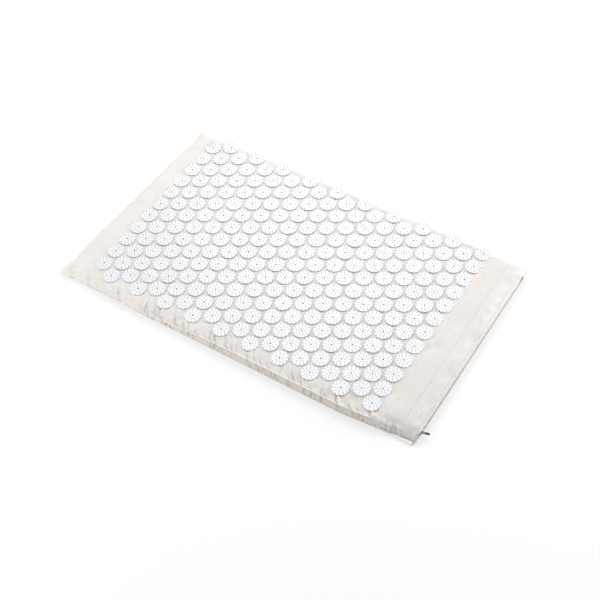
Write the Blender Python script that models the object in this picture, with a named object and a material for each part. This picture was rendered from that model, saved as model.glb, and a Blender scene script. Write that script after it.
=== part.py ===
"""Acupressure mat: a zipped linen cover sewn from two panels over a foam core, with rows of plastic
spike rosettes on its top. Metres, +Z up. +X runs along the mat to its zipped end, +Y to its far side.
The mat lies on z = 0, with the middle of its bounding box over the origin."""

import math

import bmesh
import bpy
import numpy as np
from mathutils import Matrix, Vector

# Rosettes: moulded discs whose spikes stand up, staggered from column to column
COLUMN_COUNT = 20
LONG_COLUMN_ROSETTES = 12
ROSETTE_DIAMETER = 0.030
ROSETTE_GAP = 0.003
ROSETTE_BASE = 0.0018
ROSETTE_DIMPLE = 0.0008
SPIKE_HEIGHT = 0.0034
SPIKE_INSET = 0.0020
BRIDGE_WIDTH = 0.0042
SPIKES_PER_HALF = 3

# Cover: cloth, its margins round the rosettes, and how its edges roll down to the seam
CLOTH = 0.0010
MAT_THICKNESS = 0.020
LEFT_MARGIN = 0.067
RIGHT_MARGIN = 0.093
NEAR_MARGIN = 0.0316
FAR_MARGIN = 0.015
LEFT_ROLL = 0.014
END_ROLL = 0.008
SIDE_ROLL = 0.007
FLOOR_ROLL = 0.0035
TOP_CORNER_RADIUS = 0.016
SEAM_CORNER_RADIUS = 0.004
EAR_REACH = 0.008
SIDE_DRAW = 0.0027
FAR_TAPER = 0.014
CORNER_TUCK = 0.0095

# Seam: how far it lies under the top face or over the floor, in the middle of each side
NEAR_SEAM_DROP = 0.003
LEFT_SEAM_RISE = 0.004
CORNER_SEAM_RISE = 0.0006
NEAR_FALL_SHARES = (0.36, 0.92)
FAR_FALL_SHARES = (0.60, 1.0)
LEFT_FALL_SHARES = (0.80, 1.0)
ZIP_FALL_SHARES = (0.96, 1.0)
DRAW_SHARES = (0.45, 0.95)
TUCK_SHARES = ((0.82, 1.0), (0.89, 1.0))
LEFT_EAR_SHARES = (0.66, 0.44)
NEAR_RIGHT_EAR_SHARES = (-0.4, 0.0)
FAR_RIGHT_EAR_SHARES = (-0.4, 0.3)

# Gaps: between pieces that touch, round pieces that run, and round the soft core
FIT_GAP = 0.0003
RUNNING_GAP = 0.0004
CORE_GAP = 0.0015

# Zip in the right-hand end
TOOTH_ROW_WIDTH = 0.0026
TOOTH_ROW_DEPTH = 0.0022
TAPE_THICKNESS = 0.0006
TAPE_TUCK_SHARE = 0.5
OPENING_SHARE = 0.928
OPENING_END_SHARE = 0.97
ZIP_END_GAP = 0.0064
STOP_LENGTH = 0.0016
SLIDER_LENGTH = 0.013
SLIDER_PLATE = 0.0010
SLIDER_LIP = 0.0006
SLIDER_SIDE_GAP = 0.0007
SLIDER_PARKING = 0.0005
WEDGE_THICKNESS = 0.0006
WEDGE_LENGTH = 0.0025

# Pull tab and the crown that holds it on the slider
AXLE_THICKNESS = 0.0010
AXLE_CLEARANCE = 0.0007
CROWN_BAR = 0.0010
CROWN_WIDTH = 0.0016
CROWN_LENGTH = 0.006
CROWN_SHIFT = -0.0035
EYE_CLEARANCE = 0.0009
PULL_LENGTH = 0.0125
PULL_WIDTH = 0.0056
PULL_END_RADIUS = 0.0018
PULL_REST_ANGLE = math.radians(13)

# Sampling of the outlines, as shares of each straight side and steps of each corner and roll
SIDE_SHARES = (0.0, 0.2, 0.4, 0.6, 0.8, 0.88, OPENING_SHARE, OPENING_END_SHARE)
CORNER_STEPS = 3
ROLL_STEPS = 3
SMOOTH_ANGLE = math.radians(35)

# Sizes that follow from those above
ROSETTE_RADIUS = ROSETTE_DIAMETER / 2
ROSETTE_PITCH = ROSETTE_DIAMETER + ROSETTE_GAP
COLUMN_SPACING = ROSETTE_DIAMETER
FIELD_LENGTH = (COLUMN_COUNT - 1) * COLUMN_SPACING
FIELD_WIDTH = (LONG_COLUMN_ROSETTES - 1) * ROSETTE_PITCH
HALF_LENGTH = (LEFT_MARGIN + FIELD_LENGTH + RIGHT_MARGIN) / 2
HALF_WIDTH = (NEAR_MARGIN + FIELD_WIDTH + FAR_MARGIN) / 2
INNER_TOP = MAT_THICKNESS - CLOTH
CORNER_SEAM = CLOTH + CORNER_SEAM_RISE
ZIP_HEIGHT = MAT_THICKNESS / 2

ROW_HALF_GAP = WEDGE_THICKNESS / 2 + RUNNING_GAP
ROW_OUTER = ROW_HALF_GAP + TOOTH_ROW_WIDTH
SLIDER_HALF_WIDTH = ROW_OUTER + RUNNING_GAP + SLIDER_LIP
OPENING_HALF_HEIGHT = SLIDER_HALF_WIDTH + SLIDER_SIDE_GAP
ZIP_HALF_LENGTH = OPENING_SHARE * (HALF_WIDTH - SEAM_CORNER_RADIUS) - ZIP_END_GAP
CHANNEL_HALF_DEPTH = TOOTH_ROW_DEPTH / 2 + RUNNING_GAP
PLATE_FACE = CHANNEL_HALF_DEPTH + SLIDER_PLATE
TUCK_REACH = math.sqrt(1 - TAPE_TUCK_SHARE**2)
ZIP_PLANE = (
    HALF_LENGTH - END_ROLL + (END_ROLL - CLOTH) * TUCK_REACH - FIT_GAP - TAPE_THICKNESS / 2
)
CORE_END = ZIP_PLANE - PLATE_FACE - RUNNING_GAP
SLIDER_TRAVEL = 2 * (
    ZIP_HALF_LENGTH - STOP_LENGTH - FIT_GAP - SLIDER_PARKING - SLIDER_LENGTH / 2
)
AXLE_RISE = PLATE_FACE + AXLE_CLEARANCE + AXLE_THICKNESS / 2
CROWN_UNDERSIDE = AXLE_RISE + AXLE_THICKNESS / 2 + AXLE_CLEARANCE
CROWN_TOP = CROWN_UNDERSIDE + CROWN_BAR
EYE_HALF_WIDTH = CROWN_WIDTH / 2 + EYE_CLEARANCE
EYE_END = math.hypot(CROWN_TOP - AXLE_RISE, CROWN_LENGTH / 2) + EYE_CLEARANCE


def clear_scene():
    for obj in list(bpy.data.objects):
        bpy.data.objects.remove(obj, do_unlink=True)


def make_material(name, color, roughness, metallic=0.0):
    material = bpy.data.materials.new(name)
    material.use_nodes = True
    shader = material.node_tree.nodes["Principled BSDF"]
    shader.inputs["Base Color"].default_value = (*color, 1.0)
    shader.inputs["Roughness"].default_value = roughness
    shader.inputs["Metallic"].default_value = metallic
    material.diffuse_color = (*color, 1.0)
    return material


def add_object(name, mesh, material, parent):
    if material.name not in mesh.materials:
        mesh.materials.append(material)
    mesh.shade_smooth()
    mesh.set_sharp_from_angle(angle=SMOOTH_ANGLE)
    obj = bpy.data.objects.new(name, mesh)
    bpy.context.scene.collection.objects.link(obj)
    obj.parent = parent
    return obj


def mesh_from(name, points, faces):
    """A mesh from points and faces, with every face turned outward."""
    shape = bmesh.new()
    verts = [shape.verts.new(Vector(point)) for point in points]
    for face in faces:
        shape.faces.new([verts[index] for index in face])
    bmesh.ops.recalc_face_normals(shape, faces=shape.faces)
    mesh = bpy.data.meshes.new(name)
    shape.to_mesh(mesh)
    shape.free()
    return mesh


def loft(name, rings):
    """A closed mesh through rings of equally many points, with a flat cap on the first and last."""
    count = len(rings[0])
    points = np.concatenate([np.asarray(ring) for ring in rings])
    faces = [tuple(range(count))]
    for level in range(len(rings) - 1):
        base = level * count
        for index in range(count):
            after = (index + 1) % count
            faces.append((base + index, base + after, base + count + after, base + count + index))
    last = (len(rings) - 1) * count
    faces.append(tuple(range(last, last + count)))
    return mesh_from(name, points.tolist(), faces)


def folded_loft(name, rings, fold):
    """A loft whose caps are fans round their middles. Its quads are cut in two, one way before the
    level where the sheet folds back and the other way after it, so that both skins are cut alike."""
    count = len(rings[0])
    middles = [np.mean(rings[0], axis=0), np.mean(rings[-1], axis=0)]
    points = np.concatenate([*rings, middles])
    last = (len(rings) - 1) * count
    faces = []
    for index in range(count):
        after = (index + 1) % count
        for base, middle in ((0, len(points) - 2), (last, len(points) - 1)):
            faces.append((base + index, base + after, middle))
        for level in range(len(rings) - 1):
            low, low_after = level * count + index, level * count + after
            high, high_after = low + count, low_after + count
            if level < fold:
                faces += [(low, low_after, high_after), (low, high_after, high)]
            else:
                faces += [(low, low_after, high), (low_after, high_after, high)]
    return mesh_from(name, points.tolist(), faces)


def prism(name, outline, low, high, axis):
    """A closed mesh: a flat outline carried from low to high along the given axis (0, 1 or 2)."""
    rings = []
    for level in (low, high):
        ring = [list(pair) for pair in outline]
        for point in ring:
            point.insert(axis, level)
        rings.append(ring)
    return loft(name, rings)


def box_outline(low, high):
    return [(low[0], low[1]), (high[0], low[1]), (high[0], high[1]), (low[0], high[1])]


def smooth_step(value, low, high):
    share = np.clip((value - low) / (high - low), 0, 1)
    return share * share * (3 - 2 * share)


def side_marks():
    """The perimeter's samples in order, counterclockwise from the near side's left end: for each one
    its side (0 near, 1 right, 2 far, 3 left), its share along the straight part, and its corner angle,
    which is None on a straight part."""
    shares = sorted({sign * share for share in SIDE_SHARES for sign in (-1, 1)})
    marks = []
    for side in range(4):
        marks += [(side, share, None) for share in shares]
        marks += [(side, 1.0, math.pi / 2 * step / CORNER_STEPS) for step in range(CORNER_STEPS + 1)]
    return marks


MARKS = side_marks()
SIDE = np.array([mark[0] for mark in MARKS])
SHARE = np.array([mark[1] for mark in MARKS])
IS_CORNER = np.array([mark[2] is not None for mark in MARKS])


def drawn_in(points):
    """Points moved as the sewing pulls the cover in: each end leans in towards the far side, the left
    half draws in towards its corners, and the near right corner is tucked in."""
    plan, height = points[:, :2], points[:, 2:]
    size = np.array([HALF_LENGTH, HALF_WIDTH])
    draw = SIDE_DRAW * smooth_step(np.abs(plan) / size, *DRAW_SHARES)[:, ::-1]
    draw *= plan[:, :1] < 0
    draw[:, 0] += FAR_TAPER * (plan[:, 1] / size[1] + 1) / 2
    tuck = smooth_step(plan[:, 0] / size[0], *TUCK_SHARES[0])
    tuck *= smooth_step(-plan[:, 1] / size[1], *TUCK_SHARES[1])
    moved = plan * (1 - draw / size)
    moved[:, 1] += CORNER_TUCK * tuck
    return np.hstack([moved, height])


def outline(left, right, near, far, radius):
    """The mat's rectangle with an inset on each side and round corners, at the samples."""
    low = np.array([-HALF_LENGTH + left, -HALF_WIDTH + near])
    high = np.array([HALF_LENGTH - right, HALF_WIDTH - far])
    middle = (low + high) / 2
    straight = (high - low) / 2 - radius
    points = []
    for side, share, angle in MARKS:
        along = np.array([(1, 0), (0, 1), (-1, 0), (0, -1)][side])
        outward = np.array([(0, -1), (1, 0), (0, 1), (-1, 0)][side])
        corner = middle + (along + outward) * straight
        if angle is None:
            reach = abs(along @ straight)
            points.append(middle + outward * (straight + radius) + along * reach * share)
        else:
            points.append(corner + radius * (outward * math.cos(angle) + along * math.sin(angle)))
    return np.array(points)


def seam_outline():
    """The sewn edge from above, which reaches out in an ear at each corner."""
    points = outline(0, 0, 0, 0, SEAM_CORNER_RADIUS)
    near = (points[:, 1] < 0)[:, None]
    right_ear = np.where(near, NEAR_RIGHT_EAR_SHARES, FAR_RIGHT_EAR_SHARES)
    ear = EAR_REACH * np.where((points[:, 0] < 0)[:, None], LEFT_EAR_SHARES, right_ear)
    return points + np.sign(points) * ear * IS_CORNER[:, None]


def seam_height():
    """The sewn edge's height: high in the middle of the near side, near the floor at the corners."""
    middle = np.array(
        [MAT_THICKNESS - NEAR_SEAM_DROP, ZIP_HEIGHT, MAT_THICKNESS / 2, LEFT_SEAM_RISE]
    )[SIDE]
    falls = np.array([NEAR_FALL_SHARES, ZIP_FALL_SHARES, FAR_FALL_SHARES, LEFT_FALL_SHARES])[SIDE]
    fall = smooth_step(np.abs(SHARE), falls[:, 0], falls[:, 1])
    return middle + (CORNER_SEAM - middle) * np.where(IS_CORNER, 1, fall)


def opening_half():
    """Half the height of the gap that the zip closes, at each sample."""
    full = 1 - smooth_step(np.abs(SHARE), OPENING_SHARE, OPENING_END_SHARE)
    return OPENING_HALF_HEIGHT * full * ((SIDE == 1) & ~IS_CORNER)


SEAM = seam_outline()
TOP_EDGE = outline(LEFT_ROLL, END_ROLL, SIDE_ROLL, SIDE_ROLL, TOP_CORNER_RADIUS)
FLOOR_EDGE = outline(FLOOR_ROLL, END_ROLL, FLOOR_ROLL, FLOOR_ROLL, TOP_CORNER_RADIUS)
INWARD = (TOP_EDGE - SEAM) / np.linalg.norm(TOP_EDGE - SEAM, axis=1)[:, None]
INNER_SEAM = SEAM + INWARD * CLOTH
SEAM_HEIGHT = seam_height()
UPPER_EDGE = SEAM_HEIGHT + np.maximum(opening_half(), FIT_GAP / 2)
LOWER_EDGE = SEAM_HEIGHT - np.maximum(opening_half(), FIT_GAP / 2)


def roll_ring(edge, seam, edge_height, flat_height, angle):
    """A ring on a quarter ellipse that leaves the flat face at its edge and ends upright at the seam."""
    plan = edge + (seam - edge) * math.sin(angle)
    height = edge_height + (flat_height - edge_height) * math.cos(angle)
    return np.column_stack([plan, height])


def panel(name, edge, edge_height, outer_height, inner_height):
    """One cloth panel: a flat field whose margin rolls round to the seam, with the cloth's thickness."""
    angles = [math.pi / 2 * step / ROLL_STEPS for step in range(ROLL_STEPS + 1)]
    outer = [roll_ring(edge, SEAM, edge_height, outer_height, angle) for angle in angles]
    inner = [roll_ring(edge, INNER_SEAM, edge_height, inner_height, angle) for angle in angles]
    return folded_loft(name, [drawn_in(ring) for ring in outer + inner[::-1]], ROLL_STEPS)


def core_ring(height):
    """The cover's inside at one height, with room left all round, in the corners and behind the zip."""
    above = height > UPPER_EDGE
    rise = np.where(above, INNER_TOP - UPPER_EDGE, LOWER_EDGE - CLOTH)
    climb = CORE_GAP + np.where(above, height - UPPER_EDGE, np.maximum(LOWER_EDGE - height, 0))
    reach = np.sqrt(np.clip(1 - (climb / rise) ** 2, 0, 1))[:, None]
    edge = np.where(above[:, None], TOP_EDGE, FLOOR_EDGE)
    plan = edge + (INNER_SEAM - edge) * reach * np.where(IS_CORNER, 0, 1)[:, None]
    plan = np.where(IS_CORNER[:, None], TOP_EDGE, plan) + INWARD * CORE_GAP
    plan[:, 0] = np.minimum(plan[:, 0], CORE_END)
    return drawn_in(np.column_stack([plan, np.full(len(plan), height)]))


def foam_core():
    bottom = CLOTH + FIT_GAP
    top = INNER_TOP - FIT_GAP
    quarter = (top - bottom) / 4
    rings = [core_ring(z) for z in (bottom, bottom + quarter, top - quarter, top)]
    return folded_loft("foam_core", rings, len(rings))


def rosette_angles():
    """Angles round one disc: a narrow flat towards each neighbour in its column, and between the
    flats a zigzag of gaps and spikes. The second value is true where a spike stands."""
    half_flat = math.asin(BRIDGE_WIDTH / 2 / ROSETTE_RADIUS)
    steps = 2 * SPIKES_PER_HALF
    span = math.pi - 2 * half_flat
    ring = []
    for start in (math.pi / 2 + half_flat, -math.pi / 2 + half_flat):
        ring += [(start + span * step / steps, step % 2 == 1) for step in range(steps + 1)]
    return ring


def rosette_column(count):
    """A column of spiked discs as one body: each disc is bridged to the next at its flats, because
    the discs of a column share a node. The real ones are bonded to the cloth one by one."""
    ring = rosette_angles()
    size = len(ring)
    half = size // 2
    points, faces = [], []
    for number in range(count):
        centre_y = number * ROSETTE_PITCH
        base = len(points)
        for angle, _ in ring:
            points.append(
                (ROSETTE_RADIUS * math.cos(angle), centre_y + ROSETTE_RADIUS * math.sin(angle), 0)
            )
        for angle, is_spike in ring:
            radius = ROSETTE_RADIUS - (SPIKE_INSET if is_spike else 0)
            height = ROSETTE_BASE + (SPIKE_HEIGHT if is_spike else 0)
            points.append(
                (radius * math.cos(angle), centre_y + radius * math.sin(angle), height)
            )
        points.append((0, centre_y, ROSETTE_BASE - ROSETTE_DIMPLE))
        faces.append(tuple(base + index for index in range(size)))
        for index in range(size):
            after = (index + 1) % size
            faces.append((base + size + index, base + size + after, base + 2 * size))
            joins_last = index == half - 1 and number > 0
            joins_next = index == size - 1 and number < count - 1
            if not joins_last and not joins_next:
                faces.append(
                    (base + index, base + after, base + size + after, base + size + index)
                )
        if number < count - 1:
            beyond = base + 2 * size + 1
            here = (size - 1, 0, size, 2 * size - 1)
            there = (half, half - 1, size + half - 1, size + half)
            for index in range(4):
                after = (index + 1) % 4
                faces.append(
                    (base + here[index], base + here[after], beyond + there[after], beyond + there[index])
                )
    return mesh_from(f"rosettes_{count}", points, faces)


def add_rosettes(parent, material):
    meshes = [rosette_column(LONG_COLUMN_ROSETTES - 1), rosette_column(LONG_COLUMN_ROSETTES)]
    for column in range(COLUMN_COUNT):
        row = add_object(f"rosette_row_{column + 1:02d}", meshes[column % 2], material, parent)
        stagger = 0 if column % 2 else ROSETTE_PITCH / 2
        row.location = (
            -HALF_LENGTH + LEFT_MARGIN + column * COLUMN_SPACING,
            -HALF_WIDTH + NEAR_MARGIN + stagger,
            MAT_THICKNESS + FIT_GAP,
        )


def eight_sided(half_x, half_z):
    """An octagon's outline of the given half sizes, for a row of teeth seen from its end."""
    angles = [math.pi / 8 + math.pi / 4 * step for step in range(8)]
    stretch = math.cos(math.pi / 8)
    return [(half_x * math.cos(a) / stretch, half_z * math.sin(a) / stretch) for a in angles]


def add_zip_halves(parent, tape_material, tooth_material, stop_material):
    """The two tapes and the two rows of teeth, with their stops: one half over the other."""
    low = -ZIP_HALF_LENGTH + STOP_LENGTH + FIT_GAP
    high = ZIP_HALF_LENGTH - STOP_LENGTH - FIT_GAP
    row_middle = (ROW_HALF_GAP + ROW_OUTER) / 2
    tape_start = ROW_OUTER + FIT_GAP
    room = ZIP_HEIGHT - OPENING_HALF_HEIGHT - CLOTH
    tape_end = OPENING_HALF_HEIGHT + room * TAPE_TUCK_SHARE
    half_tape = TAPE_THICKNESS / 2
    half_depth = TOOTH_ROW_DEPTH / 2
    for half, sign in (("upper", 1), ("lower", -1)):
        tape = prism(
            f"zip_tape_{half}",
            box_outline((-half_tape, sign * tape_start), (half_tape, sign * tape_end)),
            -ZIP_HALF_LENGTH,
            ZIP_HALF_LENGTH,
            1,
        )
        teeth = prism(
            f"zip_teeth_{half}",
            [
                (x, z + sign * row_middle)
                for x, z in eight_sided(half_depth, TOOTH_ROW_WIDTH / 2)
            ],
            low,
            high,
            1,
        )
        stop = prism(
            f"zip_top_stop_{half}",
            box_outline((-half_depth, sign * ROW_HALF_GAP), (half_depth, sign * ROW_OUTER)),
            -ZIP_HALF_LENGTH,
            -ZIP_HALF_LENGTH + STOP_LENGTH,
            1,
        )
        for mesh, material in ((tape, tape_material), (teeth, tooth_material), (stop, stop_material)):
            add_object(mesh.name, mesh, material, parent)
    bottom_stop = prism(
        "zip_bottom_stop",
        box_outline((-half_depth, -ROW_OUTER), (half_depth, ROW_OUTER)),
        ZIP_HALF_LENGTH - STOP_LENGTH,
        ZIP_HALF_LENGTH,
        1,
    )
    add_object("zip_bottom_stop", bottom_stop, stop_material, parent)


def helper(obj):
    obj.hide_render = True
    obj.display_type = "WIRE"
    return obj


def join(target, tool, operation):
    modifier = target.modifiers.new(f"{operation.lower()}_{tool.name}", "BOOLEAN")
    modifier.operation = operation
    modifier.object = tool


def shell_outline(sign):
    """One half of the slider seen from its end: a plate whose lips turn in round the tapes."""
    slot = TAPE_THICKNESS / 2 + RUNNING_GAP
    width = SLIDER_HALF_WIDTH
    inside = SLIDER_HALF_WIDTH - SLIDER_LIP
    corners = [
        (slot, -width),
        (PLATE_FACE, -width),
        (PLATE_FACE, width),
        (slot, width),
        (slot, inside),
        (CHANNEL_HALF_DEPTH, inside),
        (CHANNEL_HALF_DEPTH, -inside),
        (slot, -inside),
    ]
    return [(sign * x, z) for x, z in corners]


def add_slider(carriage, material):
    """The slider: two lipped plates held together by the wedge, with the crown on the outer one."""
    half = SLIDER_LENGTH / 2
    plate_middle = (CHANNEL_HALF_DEPTH + PLATE_FACE) / 2
    slider = add_object(
        "zip_slider", prism("zip_slider", shell_outline(1), -half, half, 1), material, carriage
    )
    inner = prism("slider_inner_plate", shell_outline(-1), -half, half, 1)
    wedge = prism(
        "slider_wedge",
        box_outline((-plate_middle, -half), (plate_middle, -half + WEDGE_LENGTH)),
        -WEDGE_THICKNESS / 2,
        WEDGE_THICKNESS / 2,
        2,
    )
    reach = CROWN_LENGTH / 2
    leg = reach - CROWN_BAR
    corners = [
        (plate_middle, -reach),
        (CROWN_TOP, -reach),
        (CROWN_TOP, reach),
        (plate_middle, reach),
        (plate_middle, leg),
        (CROWN_UNDERSIDE, leg),
        (CROWN_UNDERSIDE, -leg),
        (plate_middle, -leg),
    ]
    arch = [(x, y + CROWN_SHIFT) for x, y in corners]
    crown = prism("slider_crown", arch, -CROWN_WIDTH / 2, CROWN_WIDTH / 2, 2)
    for mesh in (inner, wedge, crown):
        join(slider, helper(add_object(mesh.name, mesh, material, carriage)), "UNION")


def add_pull(hinge, material):
    """The pull tab, whose own +X points away from its axle: an axle bar, an eye and a round end."""
    half = PULL_WIDTH / 2
    turn = [math.pi / 2 * step / 4 for step in range(5)]
    start = -AXLE_THICKNESS / 2
    corner_x = PULL_LENGTH - PULL_END_RADIUS
    corner_z = half - PULL_END_RADIUS
    lower = [
        (corner_x + PULL_END_RADIUS * math.sin(a), -corner_z - PULL_END_RADIUS * math.cos(a))
        for a in turn
    ]
    upper = [(x, -z) for x, z in reversed(lower)]
    outline_points = [(start, -half)] + lower + upper + [(start, half)]
    depth = AXLE_THICKNESS / 2
    pull = add_object("zip_pull", prism("zip_pull", outline_points, -depth, depth, 1), material, hinge)
    eye = prism(
        "pull_eye",
        box_outline((AXLE_THICKNESS / 2, -EYE_HALF_WIDTH), (EYE_END, EYE_HALF_WIDTH)),
        -2 * depth,
        2 * depth,
        1,
    )
    join(pull, helper(add_object("pull_eye", eye, material, hinge)), "DIFFERENCE")


def add_empty(name, parent, location, turn=0.0):
    empty = bpy.data.objects.new(name, None)
    bpy.context.scene.collection.objects.link(empty)
    empty.parent = parent
    empty.location = location
    empty.rotation_euler = (0, 0, turn)
    return empty


def zip_lean():
    """The zip's turn about Z, with which it follows the leaning end of the cover."""
    return math.atan2(FAR_TAPER * ZIP_PLANE / HALF_LENGTH, 2 * HALF_WIDTH)


def mat_centre(zip_middle):
    """The middle of the whole mat's bounding box in the cover's own frame, with the pull tab in it."""
    turn = zip_lean() + PULL_REST_ANGLE
    axle = Vector((AXLE_RISE, CROWN_SHIFT - SLIDER_TRAVEL / 2))
    carriage = Matrix.Rotation(zip_lean(), 2) @ axle
    tip = Matrix.Rotation(turn, 2) @ Vector((PULL_LENGTH, -AXLE_THICKNESS / 2))
    seam = drawn_in(SEAM)
    low = seam.min(axis=0)
    high = seam.max(axis=0)
    right = max(high[0], zip_middle + carriage.x + tip.x)
    return ((low[0] + right) / 2, (low[1] + high[1]) / 2)


def build():
    clear_scene()
    linen = make_material("linen", (0.87, 0.83, 0.79), 0.95)
    lining = make_material("linen_underside", (0.84, 0.80, 0.76), 0.95)
    foam = make_material("foam", (0.85, 0.80, 0.62), 1.0)
    plastic = make_material("rosette_plastic", (0.90, 0.92, 0.93), 0.35)
    tape = make_material("zip_tape", (0.88, 0.85, 0.79), 0.9)
    nylon = make_material("zip_nylon", (0.86, 0.82, 0.74), 0.5)
    metal = make_material("slider_metal", (0.60, 0.53, 0.46), 0.45, 0.3)
    painted = make_material("pull_paint", (0.14, 0.11, 0.10), 0.4, 0.3)

    zip_middle = ZIP_PLANE * (1 - FAR_TAPER / HALF_LENGTH / 2)
    centre = mat_centre(zip_middle)
    mat = add_empty("mat_frame", None, (-centre[0], -centre[1], 0))
    zip_frame = add_empty("zip_frame", mat, (zip_middle, 0, ZIP_HEIGHT), zip_lean())
    top = panel("cover_top_panel", TOP_EDGE, UPPER_EDGE, MAT_THICKNESS, INNER_TOP)
    bottom = panel("cover_bottom_panel", FLOOR_EDGE, LOWER_EDGE, 0, CLOTH)
    add_object("cover_top_panel", top, linen, mat)
    add_object("cover_bottom_panel", bottom, lining, mat)
    add_object("foam_core", foam_core(), foam, mat)
    add_rosettes(mat, plastic)
    add_zip_halves(zip_frame, tape, nylon, metal)

    carriage = add_empty("slider_frame", zip_frame, (0, -SLIDER_TRAVEL / 2, 0))
    add_slider(carriage, metal)
    hinge = add_empty("pull_hinge", carriage, (AXLE_RISE, CROWN_SHIFT, 0), PULL_REST_ANGLE)
    add_pull(hinge, painted)

    bpy.context.view_layer.update()
    print("slider at", tuple(round(v, 6) for v in carriage.matrix_world.translation))
    print("pull hinge at", tuple(round(v, 6) for v in hinge.matrix_world.translation))
    print("slide axis", tuple(round(v, 6) for v in carriage.matrix_world.col[1].xyz))
    print("slider travel", round(SLIDER_TRAVEL, 6))


build()
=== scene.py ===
"""Acupressure mat: cloth cover over a foam core, rosettes and zip, with their finishes, on a white
studio floor. Metres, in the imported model's frame."""

import math

import bpy
import numpy as np
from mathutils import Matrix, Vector


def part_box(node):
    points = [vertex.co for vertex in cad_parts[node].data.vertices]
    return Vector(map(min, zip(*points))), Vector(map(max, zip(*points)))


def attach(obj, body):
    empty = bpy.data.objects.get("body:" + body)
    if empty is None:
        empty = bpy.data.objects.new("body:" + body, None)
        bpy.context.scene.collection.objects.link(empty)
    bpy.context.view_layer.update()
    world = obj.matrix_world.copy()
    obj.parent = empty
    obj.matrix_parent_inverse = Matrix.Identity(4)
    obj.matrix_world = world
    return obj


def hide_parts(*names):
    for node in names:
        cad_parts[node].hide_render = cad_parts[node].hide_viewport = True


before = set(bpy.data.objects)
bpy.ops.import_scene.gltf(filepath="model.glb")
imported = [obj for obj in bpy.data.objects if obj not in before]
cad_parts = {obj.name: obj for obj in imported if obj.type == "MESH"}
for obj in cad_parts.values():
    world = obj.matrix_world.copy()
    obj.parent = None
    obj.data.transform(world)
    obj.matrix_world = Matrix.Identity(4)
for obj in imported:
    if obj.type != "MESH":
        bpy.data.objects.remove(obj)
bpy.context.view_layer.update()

# Where the rosettes lie
# The mat is laid out from the rosettes' regular field: x runs along the mat from the first column,
# y across it from the nearest rosettes, and FIELD is that corner in the model's frame. Long
# columns and columns with one rosette less take turns.
ROSETTE_DIAMETER = 0.030
ROSETTE_PITCH = 0.033
COLUMN_STEP = 0.030
COLUMNS = 20
LONG_COUNT = 12
DISC_TOP = 0.0221
first_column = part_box("rosette_row_01")
long_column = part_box("rosette_row_02")
FIELD = np.array(
    [
        (first_column[0][0] + first_column[1][0]) / 2,
        long_column[0][1] + ROSETTE_DIAMETER / 2,
    ]
)

# Camera, floor and lights
# A long lens looks down on the near right corner. The main lamp hangs over the far left, a lower
# one at the far right and a weak one in front soften the shadows, and a white dome fills the rest.
CAMERA_PLACE = (1.30615, -1.02023, 1.79685)
CAMERA_TURN = (0.686565, 0.087676, 0.591271)
CAMERA_LENS = 82.07
SENSOR = 36
DOME_STRENGTH = 0.62
LAMPS = (
    ("main_lamp", Vector((-0.40, 0.61, 1.0)), 1.75, 1.0, 17.6),
    ("side_lamp", Vector((1.0, 0.80, 0.34)), 1.66, 0.9, 14.4),
    ("front_lamp", Vector((-0.66, -1.04, 0.19)), 1.25, 0.5, 6.0),
)
FLOOR_SIZE = 40
FLOOR_SEEN = 0.935
FLOOR_GLOW = 0.58
FLOOR_BOUNCE = 0.64


class Wire:
    """One shader value. Sums, products and the like of wires add Math nodes, and node() adds any
    other node to the same tree."""

    def __init__(self, tree, socket=None):
        self.tree = tree
        self.socket = socket

    def node(self, kind, inputs=None, output=0, **settings):
        made = self.tree.nodes.new(kind)
        for name, value in settings.items():
            setattr(made, name, value)
        for key, value in (inputs or {}).items():
            if isinstance(value, Wire):
                self.tree.links.new(value.socket, made.inputs[key])
            else:
                made.inputs[key].default_value = value
        return Wire(self.tree, made.outputs[output] if made.outputs else None)

    def math(self, operation, *others):
        return self.node("ShaderNodeMath", dict(enumerate((self, *others))), operation=operation)

    def __add__(self, other):
        return self.math("ADD", other)

    def __radd__(self, other):
        return self.math("ADD", other)

    def __rsub__(self, other):
        return self.node("ShaderNodeMath", {0: other, 1: self}, operation="SUBTRACT")

    def __mul__(self, other):
        return self.math("MULTIPLY", other)

    def __rmul__(self, other):
        return self.math("MULTIPLY", other)

    def between(self, low, high):
        """0 below low, 1 above high, and a smooth rise between them."""
        return self.node(
            "ShaderNodeMapRange", {0: self, 1: low, 2: high}, interpolation_type="SMOOTHSTEP"
        )

    def tint(self, first, second):
        """The first colour where this value is 0 and the second where it is 1."""
        inputs = {0: self, 6: first, 7: second}
        return self.node("ShaderNodeMix", inputs, output=2, data_type="RGBA")


def rgb(red, green, blue):
    return (red, green, blue, 1.0)


def looked_at(tree):
    """1 for rays that look at a surface, straight or by a mirror or glass, and 0 for the light that
    the surface throws on others."""
    seen, mirrored, through = (
        tree.node("ShaderNodeLightPath", output=f"Is {ray} Ray")
        for ray in ("Camera", "Glossy", "Transmission")
    )
    return seen.math("MAXIMUM", mirrored).math("MAXIMUM", through)


world = bpy.data.worlds.new("white_dome")
bpy.context.scene.world = world
world.use_nodes = True
world.node_tree.nodes.clear()
dome = Wire(world.node_tree)
strength = DOME_STRENGTH + (1 - DOME_STRENGTH) * looked_at(dome)
shine = dome.node("ShaderNodeBackground", {"Color": rgb(1, 1, 1), "Strength": strength})
dome.node("ShaderNodeOutputWorld", {"Surface": shine})

for name, way, distance, size, power in LAMPS:
    lamp_data = bpy.data.lights.new(name, "AREA")
    lamp_data.shape = "DISK"
    lamp_data.size = size
    lamp_data.energy = power
    lamp = bpy.data.objects.new(name, lamp_data)
    lamp.location = way.normalized() * distance
    lamp.rotation_euler = way.to_track_quat("Z", "Y").to_euler()
    bpy.context.scene.collection.objects.link(lamp)

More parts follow.
